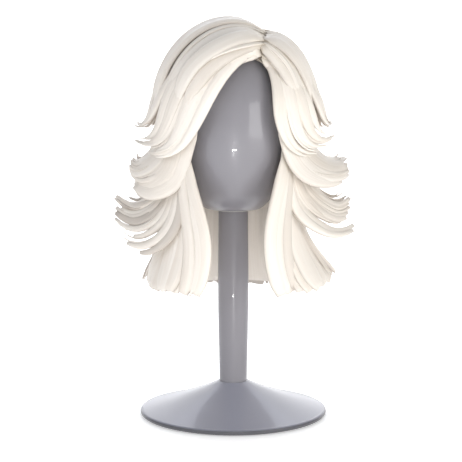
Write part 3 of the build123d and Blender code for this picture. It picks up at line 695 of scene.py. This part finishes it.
def weave_group():
    """Plain weave: two crossed sets of rounded threads, as a mask and as a height."""
    group, given = node_group("plain_weave", {"Vector": None, "Threads": 900.0}, ("Mask", "Height"))
    waves = [
        add_node(
            group, "ShaderNodeTexWave", {"Vector": given["Vector"], "Scale": given["Threads"]},
            wave_type="BANDS", bands_direction=direction,
        ).outputs["Fac"]
        for direction in ("X", "Y", "Z")
    ]
    first = calculated(group, "MAXIMUM", waves[0], waves[1])
    both = calculated(group, "MULTIPLY", first, waves[2])
    add_node(group, "NodeGroupOutput", {"Mask": both, "Height": first})
    return group


def group_node(tree, name, make, values):
    """Outputs of a node of the shared group of that name, which is made on its first use."""
    group = bpy.data.node_groups.get(name) or make()
    return add_node(tree, "ShaderNodeGroup", values, node_tree=group).outputs


def new_finish(name, **constants):
    """Material with a Principled shader whose plain values are set on its own sockets."""
    material = bpy.data.materials.new(name)
    material.use_nodes = True
    shader = material.node_tree.nodes["Principled BSDF"]
    for label, value in constants.items():
        shader.inputs[label.replace("_", " ")].default_value = value
    return material, material.node_tree, shader


def finish_shader(tree, shader, colour, roughness, height, strength, distance):
    """Links a finish's colour, its roughness where that varies, and its height as a bump."""
    tree.links.new(colour, shader.inputs["Base Color"])
    if roughness is not None:
        tree.links.new(roughness, shader.inputs["Roughness"])
    values = {"Strength": strength, "Distance": distance, "Height": height}
    bump = add_node(tree, "ShaderNodeBump", values)
    tree.links.new(bump.outputs["Normal"], shader.inputs["Normal"])


def hair_finish(name, light, dark, painted_root_shade, gap):
    """Cream fibre: two-tint streaks, painted shade at roots and between locks, a soft sheen."""
    material, tree, shader = new_finish(name, Specular_IOR_Level=0.35)
    uv = add_node(tree, "ShaderNodeUVMap", uv_map="strand").outputs["UV"]
    streaks = group_node(tree, "strand_streaks", strand_group, {"Vector": uv})
    tint, along, painted_light = (
        add_node(tree, "ShaderNodeAttribute", attribute_name=label).outputs["Fac"]
        for label in ("tint", "along", "painted_light")
    )
    paleness = calculated(tree, "MULTIPLY_ADD", tint, 0.35, streaks["Mask"])
    body = mixed(tree, ranged(tree, paleness, {"From Min": 0.35}), dark, light)
    # Painted shade towards each lock's root.
    whole = mixed(tree, ranged(tree, along, {"From Max": 0.16}), painted_root_shade, body)
    # Painted shade: the gap colour where a point keeps little painted light.
    lit = mixed(tree, ranged(tree, painted_light, {"From Max": 0.62}, "SMOOTHSTEP"), gap, whole)
    rough = ranged(tree, streaks["Height"], {"To Min": 0.36, "To Max": 0.52})
    finish_shader(tree, shader, lit, rough, streaks["Height"], 0.5, 0.0007)
    return material


def smooth_finish(name, colour, low, high, scale=40.0, depth=0.00004, **constants):
    """Moulded, painted or metal surface with a slightly uneven gloss."""
    material, tree, shader = new_finish(name, **constants)
    values = {"Vector": object_place(tree), "Scale": scale, "Low": low, "High": high}
    uneven = group_node(tree, "surface_unevenness", speckle_group, values)
    darker, paler = [c * 0.94 for c in colour], [min(1, c * 1.05) for c in colour]
    tone = mixed(tree, uneven["Height"], darker, paler)
    finish_shader(tree, shader, tone, uneven["Roughness"], uneven["Height"], 0.3, depth)
    return material


def shadow_line(material, height, colour):
    """Darkens a finish below a height, over two millimetres: painted shade low on the foot's rim.
    """
    tree = material.node_tree
    base = tree.nodes["Principled BSDF"].inputs["Base Color"]
    up = add_node(tree, "ShaderNodeSeparateXYZ", {0: object_place(tree)}).outputs["Z"]
    mask = ranged(tree, up, {"From Min": height - MM, "From Max": height + MM})
    tree.links.new(mixed(tree, mask, colour, base.links[0].from_socket), base)


def cloth_finish(name, colour, threads, depth=0.0002):
    """Woven cloth: threads that darken and sink where they cross."""
    material, tree, shader = new_finish(name, Roughness=0.85)
    values = {"Vector": object_place(tree), "Threads": threads}
    weave = group_node(tree, "plain_weave", weave_group, values)
    tone = mixed(tree, weave["Mask"], [c * 0.72 for c in colour], colour)
    finish_shader(tree, shader, tone, None, weave["Height"], 0.6, depth)
    return material


def finish_nodes(names, material):
    """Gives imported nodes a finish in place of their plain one."""
    for name in names:
        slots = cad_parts[name].material_slots
        if not slots:
            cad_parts[name].data.materials.append(material)
        for slot in slots:
            slot.material = material


# ======== settings
colour_setting = partial(FloatVectorProperty, subtype="COLOR", min=0, max=1)


class WigHairSettings(bpy.types.PropertyGroup):
    seed: IntProperty(name="Seed", description="Starting number of every random choice", default=41)
    light: colour_setting(
        name="Light strands", description="Colour of the palest ones", default=(0.90, 0.845, 0.77)
    )
    dark: colour_setting(
        name="Deep strands", description="Colour of the deeper ones", default=(0.82, 0.745, 0.655)
    )
    # Painted shade at the roots, where the locks lie deep in the hair.
    painted_root_shade: colour_setting(
        name="Roots", description="Colour at the roots", default=(0.82, 0.75, 0.65)
    )
    # Painted shade colour between and under the locks.
    gap: colour_setting(
        name="Gaps", description="Colour between and under the locks", default=(0.54, 0.48, 0.42)
    )
    density: FloatProperty(
        name="Density", description="Share of the full number of locks", default=1.0,
        min=0.1, max=1.5, subtype="FACTOR",
    )


class WigStandSettings(bpy.types.PropertyGroup):
    plastic: colour_setting(
        name="Stand", description="Colour of the head and post", default=(0.27, 0.26, 0.278)
    )
    # The stand's own plastic colour, painted lighter and bluer on the foot as painted reflection of
    # the cool light from above.
    foot: colour_setting(
        name="Foot", description="Colour of the foot", default=(0.33, 0.335, 0.395)
    )
    # Painted shade colour low on the foot's rim.
    foot_rim_shade: colour_setting(
        name="Foot's edge", description="Colour low on the foot's edge", default=(0.10, 0.10, 0.11)
    )
    gloss: FloatProperty(
        name="Roughness", description="How soft the stand's reflections are", default=0.26,
        min=0, max=1, subtype="FACTOR",
    )


class WigStageSettings(bpy.types.PropertyGroup):
    distance: FloatProperty(
        name="Camera distance", description="From the post's axis", default=1.5, unit="LENGTH"
    )
    height: FloatProperty(
        name="Camera height", description="Over the table", default=0.376, unit="LENGTH"
    )
    pitch: FloatProperty(
        name="Camera pitch", description="How far it looks down", default=math.radians(4.91),
        subtype="ANGLE", unit="ROTATION",
    )
    lens: FloatProperty(name="Lens", description="Focal length in millimetres", default=87.7)


# ======== operators
# Painted shade darkens the foot's rim below this height.
FOOT_RIM_SHADE_HEIGHT = 0.0075  # the foot's rim is darker below this height, in metres
CAMERA_ASIDE = -0.003  # the camera stands this far off the middle, in metres


def wig_settings():
    return bpy.context.scene.wig_hair


def generator(number):
    """A seeded source of random numbers for one weft."""
    return np.random.default_rng(wig_settings().seed * 1000 + number)


def hair_material():
    settings = wig_settings()
    colours = (settings.light, settings.dark, settings.painted_root_shade, settings.gap)
    return bpy.data.materials.get("cream_fibre") or hair_finish("cream_fibre", *map(tuple, colours))


def place_weft(bundle, name):
    """Makes a weft's mesh, gives it the fibre finish and puts it in place of its plain block."""
    piece = bundle.piece(name)
    piece.data.materials.append(hair_material())
    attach(piece, "wig")
    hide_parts(name)


def number_of(count):
    return max(4, int(count * wig_settings().density))


BROAD = dict(half_width=11.0, half_thick=4.6, ragged=0.1, lift=(0, 3), clump=0.3, group=2,
             sides=22, curl=2.0, groove=0.16, point=0.55, tip=0.12)
NARROW = dict(half_width=3.6, half_thick=2.0, ragged=0.18, lift=(1, 4), clump=0.5, group=3,
              sides=12, curl=3.0, stray=0.015, point=0.55, tip=0.06)
WISP = dict(half_width=0.8, half_thick=0.5, ragged=0.3, lift=(1, 5), clump=0.4, group=3,
            sides=6, curl=5.0, stray=0.02)
BLUNT = dict(point=0.86, tip=0.62, ragged=0.04)
EDGE = dict(curl=0.8, stray=0.0)
LONG_SLAB = 0.9  # a thickness of hair that ends beyond this share of its sheet doesn't dip


def add_layers(bundle, sheet, rng, counts, width=1.0, **changes):
    """Adds broad, narrow and single-strand locks to one sheet, in these numbers."""
    for style, count in zip((BROAD, NARROW, WISP), counts):
        style = {**style, **changes}
        style["half_width"] *= width
        add_locks(bundle, sheet, rng, number_of(count), **style)


def crown(side, name, guides, roots, number):
    """Top of the wig: a thickness of hair from the parting over the dome, and locks laid on it."""
    rng = generator(number)
    sheet = Sheet(side, guides, roots, root_off=18)
    bundle = Bundle()
    add_slab(bundle, sheet, rng, 0.0, 0.97, 6, ripple=1.2, waves=9, drop=1.5)
    # Painted shade: the darkest crown locks lose up to 0.3 of their painted light.
    add_layers(bundle, sheet, rng, (15, 12, 14), 1.1, curl=0.5, ragged=0.05, point=0.75,
               stray=0.0, lift=(0, 7), dim=0.3)
    place_weft(bundle, name)


def swept(side, name, guides, roots, number, counts, slab, width=1.0, **changes):
    """A weft with three sizes of lock over a thickness of hair.

    `number` picks its random numbers. `slab` says where the thickness starts and ends along the
    sheet, and its inset from the front edge.
    """
    rng = generator(number)
    sheet = Sheet(side, guides, roots)
    bundle = Bundle()
    low, high, inset = slab
    add_slab(bundle, sheet, rng, low, high, 3.0, ripple=0.8, waves=8, drop=2.0, inset=inset,
             sink=0.0 if high > LONG_SLAB else SINK)
    add_layers(bundle, sheet, rng, counts, width, **changes)
    place_weft(bundle, name)


class WIG_OT_crown(bpy.types.Operator):
    """Makes the crown hair on both sides of the parting"""

    bl_idname = "wig.crown"
    bl_label = "Crown hair"

    def execute(self, context):
        crown(-1, "hair_crown_right", CROWN_RIGHT, CROWN_RIGHT_ROOTS, 1)
        crown(1, "hair_crown_left", CROWN_LEFT, CROWN_LEFT_ROOTS, 4)
        return {"FINISHED"}


class WIG_OT_fringe(bpy.types.Operator):
    """Makes the swept fringe and the curtains that frame the face"""

    bl_idname = "wig.fringe"
    bl_label = "Fringe and curtains"

    def execute(self, context):
        swept(-1, "hair_fringe_right", FRINGE_RIGHT, FRINGE_RIGHT_ROOTS, 13, (8, 8, 8),
              (0.2, 0.6, 0.12), **EDGE)
        swept(1, "hair_fringe_left", FRINGE_LEFT, FRINGE_LEFT_ROOTS, 12, (7, 7, 7),
              (0.1, 0.55, 0.2), width=0.85, **EDGE)
        for side, word, guides in ((-1, "right", CURTAIN_RIGHT), (1, "left", CURTAIN_LEFT)):
            # Painted shade: the darkest curtain locks lose up to 0.7 of their painted light.
            swept(side, f"hair_curtain_{word}", guides, None, 14 + side, (6, 5, 3),
                  (0.0, 0.97, 0.08), width=0.9, dim=0.7, **EDGE, **BLUNT)
        return {"FINISHED"}


class WIG_OT_sides(bpy.types.Operator):
    """Makes the flips, wings, fans and lengths of both sides"""

    bl_idname = "wig.sides"
    bl_label = "Side wefts"

    def execute(self, context):
        swept(-1, "hair_flip_right", FLIP_RIGHT, FLIP_RIGHT_ROOTS, 21, (12, 12, 14),
              (0.05, 0.7, 0.0))
        swept(1, "hair_flip_left", FLIP_LEFT, FLIP_LEFT_ROOTS, 22, (11, 12, 14),
              (0.05, 0.7, 0.0))
        for side, word, wing, fan, length in (
            (-1, "right", WING_RIGHT, FAN_RIGHT, LENGTH_RIGHT),
            (1, "left", WING_LEFT, FAN_LEFT, LENGTH_LEFT),
        ):
            swept(side, f"hair_wing_{word}", wing, None, 24 + side, (9, 7, 8), (0.0, 0.8, 0.05),
                  width=1.7, tip=0.3, ragged=0.06)
            # Painted shade: the darkest fan locks lose up to 0.95 of their painted light on the
            # right side, 0.45 on the left.
            swept(side, f"hair_fan_{word}", fan, None, 27 + side, (17, 14, 10), (0.0, 0.5, 0.05),
                  width=0.85, tip=0.3, dim=0.7 - 0.25 * side)
            swept(side, f"hair_length_{word}", length, None, 30 + side, (11, 8, 6),
                  (0.0, 0.97, 0.0), width=1.3, **BLUNT)
        return {"FINISHED"}


class WIG_OT_back(bpy.types.Operator):
    """Makes the four shingled wefts of the back"""

    bl_idname = "wig.back"
    bl_label = "Back wefts"

    def execute(self, context):
        for number, (word, guides, roots, high, ragged) in enumerate((
            ("upper", BACK_UPPER, BACK_ROOTS, 0.6, 0.3),
            ("middle", BACK_MIDDLE, None, 0.55, 0.4),
            ("lower", BACK_LOWER, None, 0.55, 0.4),
        )):
            swept(-1, f"hair_back_{word}", guides, roots, 41 + number, (24, 20, 16),
                  (0.0 if roots is None else 0.05, high, 0.0), ragged=ragged)
        swept(-1, "hair_back_nape", BACK_NAPE, None, 44, (18, 18, 10), (0.0, 0.97, 0.0),
              width=1.15, **BLUNT)
        return {"FINISHED"}


class WIG_OT_stand(bpy.types.Operator):
    """Gives the stand and head their glossy finish and the fixings theirs"""

    bl_idname = "wig.stand"
    bl_label = "Stand finishes"

    def execute(self, context):
        settings = context.scene.wig_stand
        gloss, plastic = settings.gloss, tuple(settings.plastic)
        for name, colour, coat, nodes in (
            ("head_plastic", plastic, 0.6, ("head_shell", "head_floor")),
            ("post_plastic", plastic, 0.25, ("post_tube", "base_cover")),
            # The foot: the stand plastic with painted reflection, lighter and bluer.
            ("foot_plastic_painted_light", tuple(settings.foot), 0.2, ("base_shell",)),
        ):
            finish = smooth_finish(
                name, colour, gloss, gloss + 0.08, scale=9.0, depth=0.00015, Coat_Weight=coat,
                Coat_Roughness=0.03, Specular_IOR_Level=0.2,
            )
            finish_nodes(nodes, finish)
        # Painted shade along the bottom of the foot's rim.
        shadow_line(finish, FOOT_RIM_SHADE_HEIGHT, tuple(settings.foot_rim_shade))
        steel = smooth_finish("zinc_steel", (0.55, 0.55, 0.56), 0.25, 0.4, 300.0, Metallic=1.0)
        fixings = ("tie_rod", "tie_rod_nut", "tie_rod_washer")
        finish_nodes((*fixings, "cover_screws", "spigot_screw", "spigot_washer"), steel)
        iron = smooth_finish("black_iron", (0.03, 0.03, 0.032), 0.5, 0.7, 200.0)
        finish_nodes(("base_weight",), iron)
        bearing = smooth_finish("natural_plastic", (0.75, 0.74, 0.70), 0.35, 0.5, 120.0)
        finish_nodes(("neck_plug", "head_bush", "swivel_washer"), bearing)
        finish_nodes(("felt_pad",), cloth_finish("dark_felt", (0.03, 0.03, 0.034), 500.0, 0.0004))
        return {"FINISHED"}


class WIG_OT_cap(bpy.types.Operator):
    """Gives the cap's lace, bands, tabs and adjusters their finishes"""

    bl_idname = "wig.cap"
    bl_label = "Cap finishes"

    def execute(self, context):
        lace = cloth_finish("cap_lace", (0.62, 0.50, 0.38), 260.0, 0.0004)
        band = cloth_finish("cap_band", (0.74, 0.66, 0.56), 700.0)
        elastic = cloth_finish("woven_elastic", (0.70, 0.60, 0.50), 500.0, 0.0003)
        finish_nodes(("crown_net", "elastic_ribs"), lace)
        sewn = ("weft_track", "ear_tab", "strap_casing", "hook_loops", "front_band", "nape_band")
        finish_nodes([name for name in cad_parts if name.startswith(sewn)], band)
        finish_nodes(("adjuster_strap_left", "adjuster_strap_right"), elastic)
        finish_nodes(("ear_stay_left", "ear_stay_right"),
                     smooth_finish("stay_metal", (0.6, 0.6, 0.62), 0.2, 0.3, 300.0, Metallic=1.0))
        finish_nodes(("adjuster_hook_left", "adjuster_hook_right"),
                     smooth_finish("hook_plastic", (0.62, 0.50, 0.38), 0.35, 0.5, 200.0))
        finish_nodes(("parting_skin",),
                     smooth_finish("parting_skin", (0.86, 0.77, 0.66), 0.5, 0.65, 400.0))
        finish_nodes(("care_label",), cloth_finish("satin_label", (0.85, 0.84, 0.82), 1400.0))
        return {"FINISHED"}


class WIG_OT_stage(bpy.types.Operator):
    """Makes the pale floor, the lights and the camera"""

    bl_idname = "wig.stage"
    bl_label = "Stage"

    def execute(self, context):
        settings = context.scene.wig_stage
        scene = context.scene
        half, front, back, top, bend = 4.0, -3.0, 2.6, 3.2, 1.0
        angle = np.linspace(0, np.pi / 2, 12)
        outline = np.concatenate([
            [[front, 0.0]],
            np.stack([back - bend + bend * np.sin(angle), bend - bend * np.cos(angle)], 1),
            [[back, top]],
        ])
        points = np.column_stack([np.repeat([-half, half], len(outline)), np.tile(outline, (2, 1))])
        index = np.arange(len(outline) - 1)
        quads = np.stack([index, index + len(outline), index + len(outline) + 1, index + 1], 1)
        floor = mesh_object("floor", points, quads, np.zeros((0, 3), int))
        paper = new_finish(
            "white_paper", Roughness=0.9, Base_Color=(0.93, 0.93, 0.93, 1),
            Emission_Color=(1, 1, 1, 1), Emission_Strength=0.42,
        )[0]
        floor.data.materials.append(paper)

        world = bpy.data.worlds.new("studio")
        world.use_nodes = True
        sky = world.node_tree.nodes["Background"].inputs
        sky["Color"].default_value = (1.0, 1.0, 1.0, 1)
        sky["Strength"].default_value = 0.385
        scene.world = world
        scene.view_settings.view_transform = "Standard"
        white, cool = (1.0, 1.0, 1.0), (0.80, 0.86, 1.0)
        for name, place, aim, size, power, colour, mirrored in (
            ("key_light", (1.5, -1.15, 0.4), (0, 0, 0.4), (1.1, 0.8), 9.5, white, True),
            ("fill_light", (-1.3, -1.1, 1.0), (0, 0, 0.35), (1.2, 1.2), 6, cool, True),
            ("front_light", (0.4, -1.9, 0.9), (0, 0, 0.4), (0.6, 0.6), 3, white, False),
            ("back_light", (0, 1.2, 1.85), (0, 0, 0.15), (1.8, 1.4), 12, cool, True),
            ("backdrop_light", (0, 1.2, 1.9), (0, 2.6, 1.2), (1.6, 1.2), 50, white, True),
            ("flash", (0.03, -0.96, 0.02), (0, 0, 0.3), (0.16, 0.022), 2.2, white, True),
        ):
            self.light(name, place, aim, size, power, colour, mirrored)

        camera_data = bpy.data.cameras.new("camera")
        camera_data.lens = settings.lens
        camera_data.sensor_width = 36.0
        camera = bpy.data.objects.new("camera", camera_data)
        camera.location = (CAMERA_ASIDE, -settings.distance, settings.height)
        camera.rotation_euler = (math.pi / 2 - settings.pitch, 0, 0)
        scene.collection.objects.link(camera)
        scene.camera = camera
        return {"FINISHED"}

    def light(self, name, place, aim, size, power, colour, mirrored):
        """Rectangular area light at a place, turned towards a point; glossy faces may mirror it."""
        data = bpy.data.lights.new(name, "AREA")
        data.shape = "RECTANGLE"
        data.size, data.size_y = size
        data.energy = power
        data.color = colour
        lamp = bpy.data.objects.new(name, data)
        lamp.visible_glossy = mirrored
        lamp.location = place
        lamp.rotation_euler = (Vector(aim) - Vector(place)).to_track_quat("-Z", "Y").to_euler()
        bpy.context.scene.collection.objects.link(lamp)


class WIG_PT_panel(bpy.types.Panel):
    bl_label = "Wig"
    bl_idname = "WIG_PT_panel"
    bl_space_type = "VIEW_3D"
    bl_region_type = "UI"
    bl_category = "Wig"

    def draw(self, context):
        layout = self.layout
        for group_name in SETTINGS:
            group = getattr(context.scene, group_name)
            box = layout.box()
            for label in group.__annotations__:
                box.prop(group, label)
        for operator in OPERATORS:
            layout.operator(operator.bl_idname)


SETTINGS = {
    "wig_hair": WigHairSettings, "wig_stand": WigStandSettings, "wig_stage": WigStageSettings
}
OPERATORS = (
    WIG_OT_stage, WIG_OT_stand, WIG_OT_cap, WIG_OT_crown, WIG_OT_fringe, WIG_OT_sides, WIG_OT_back
)


def register():
    for label, group in SETTINGS.items():
        bpy.utils.register_class(group)
        setattr(bpy.types.Scene, label, PointerProperty(type=group))
    for made in (*OPERATORS, WIG_PT_panel):
        bpy.utils.register_class(made)


def unregister():
    for made in (WIG_PT_panel, *reversed(OPERATORS)):
        bpy.utils.unregister_class(made)
    for label, group in SETTINGS.items():
        delattr(bpy.types.Scene, label)
        bpy.utils.unregister_class(group)


def main():
    register()
    bpy.ops.wig.stage()
    bpy.ops.wig.stand()
    bpy.ops.wig.cap()
    bpy.ops.wig.crown()
    bpy.ops.wig.fringe()
    bpy.ops.wig.sides()
    bpy.ops.wig.back()


if __name__ == "__main__":
    main()
